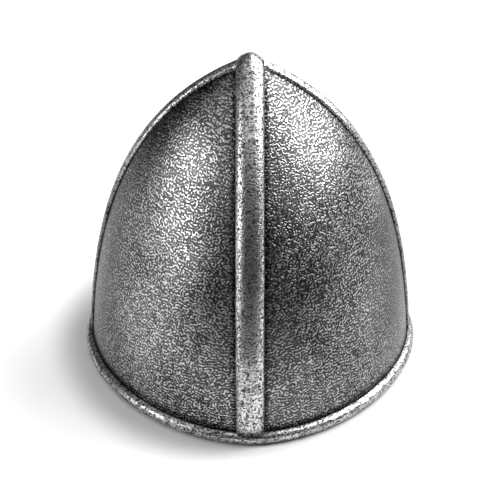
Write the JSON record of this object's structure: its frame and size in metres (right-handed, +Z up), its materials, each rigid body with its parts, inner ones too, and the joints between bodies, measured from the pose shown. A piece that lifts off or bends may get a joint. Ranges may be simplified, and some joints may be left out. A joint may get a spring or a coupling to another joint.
{
  "type": "knight helmet",
  "caption": "Pointed open-faced steel helmet with a fore-and-aft comb, side ribs, rolled base edge, padded linen liner and buckled leather chin strap.",
  "frame": {"origin": "on the surface that the helmet stands on, under the apex, at the centre of the bounding box's underside", "axes": "+Z up to the apex, -Y to the wearer's front, +Y to the back of the head, +X to the wearer's left"},
  "size_m": [0.2148, 0.2502, 0.2131],
  "materials": {
    "shell_steel": "antiqued, embossed all over, dark in the recesses",
    "rib_steel": "antiqued, finely pitted, brighter than the plates",
    "band_steel": "plain dull steel",
    "strap_leather": "dark brown strap leather, waxed",
    "liner_leather": "vegetable tanned, matte",
    "liner_linen": "unbleached linen, quilted",
    "fittings_brass": "dull brass"
  },
  "bodies": {
    "root": {"brow_band": "band_steel", "comb_rib": "rib_steel", "crown_pad": "liner_linen", "hanger_pin_left": "fittings_brass", "hanger_pin_right": "fittings_brass", "hanger_rivet_1": "fittings_brass", "hanger_rivet_2": "fittings_brass", "hanger_rivet_3": "fittings_brass", "hanger_rivet_4": "fittings_brass", "liner_band": "liner_leather", "liner_gore_1": "liner_linen", "liner_gore_2": "liner_linen", "liner_gore_3": "liner_linen", "liner_gore_4": "liner_linen", "liner_gore_5": "liner_linen", "liner_gore_6": "liner_linen", "liner_gore_7": "liner_linen", "liner_gore_8": "liner_linen", "liner_rivet_1": "fittings_brass", "liner_rivet_2": "fittings_brass", "liner_rivet_3": "fittings_brass", "liner_rivet_4": "fittings_brass", "liner_rivet_5": "fittings_brass", "liner_rivet_6": "fittings_brass", "liner_rivet_7": "fittings_brass", "liner_rivet_8": "fittings_brass", "plate_front_left": "shell_steel", "plate_front_right": "shell_steel", "plate_rear_left": "shell_steel", "plate_rear_right": "shell_steel", "rim_roll": "rib_steel", "rim_wire": "band_steel", "side_rib_left": "rib_steel", "side_rib_right": "rib_steel", "strap_hanger_left": "band_steel", "strap_hanger_right": "band_steel"},
    "strap_left": {"chin_strap_left": "strap_leather", "strap_rivet_left": "fittings_brass"},
    "buckle": {"buckle_frame": "fittings_brass"},
    "prong": {"buckle_prong": "fittings_brass"},
    "strap_right": {"chin_strap_right": "strap_leather", "strap_rivet_right": "fittings_brass"}
  },
  "joints": [
    {"name": "strap_left_hinge", "type": "hinge", "parent": "root", "child": "strap_left", "pos_m": [0.0874, 0, 0.0125], "axis": [0, -1, 0], "range_deg": [-50, 95]},
    {"name": "strap_right_hinge", "type": "hinge", "parent": "root", "child": "strap_right", "pos_m": [-0.0874, 0, 0.0125], "axis": [0, 1, 0], "range_deg": [-50, 95]},
    {"name": "buckle_hinge", "type": "hinge", "parent": "strap_left", "child": "buckle", "pos_m": [0.0274, 0.00741, 0.0041], "axis": [0.1736, 0.9848, 0], "range_deg": [-90, 120]},
    {"name": "prong_hinge", "type": "hinge", "parent": "buckle", "child": "prong", "pos_m": [0.0274, 0.00741, 0.0041], "axis": [0.1736, 0.9848, 0], "range_deg": [0, 100]}
  ]
}
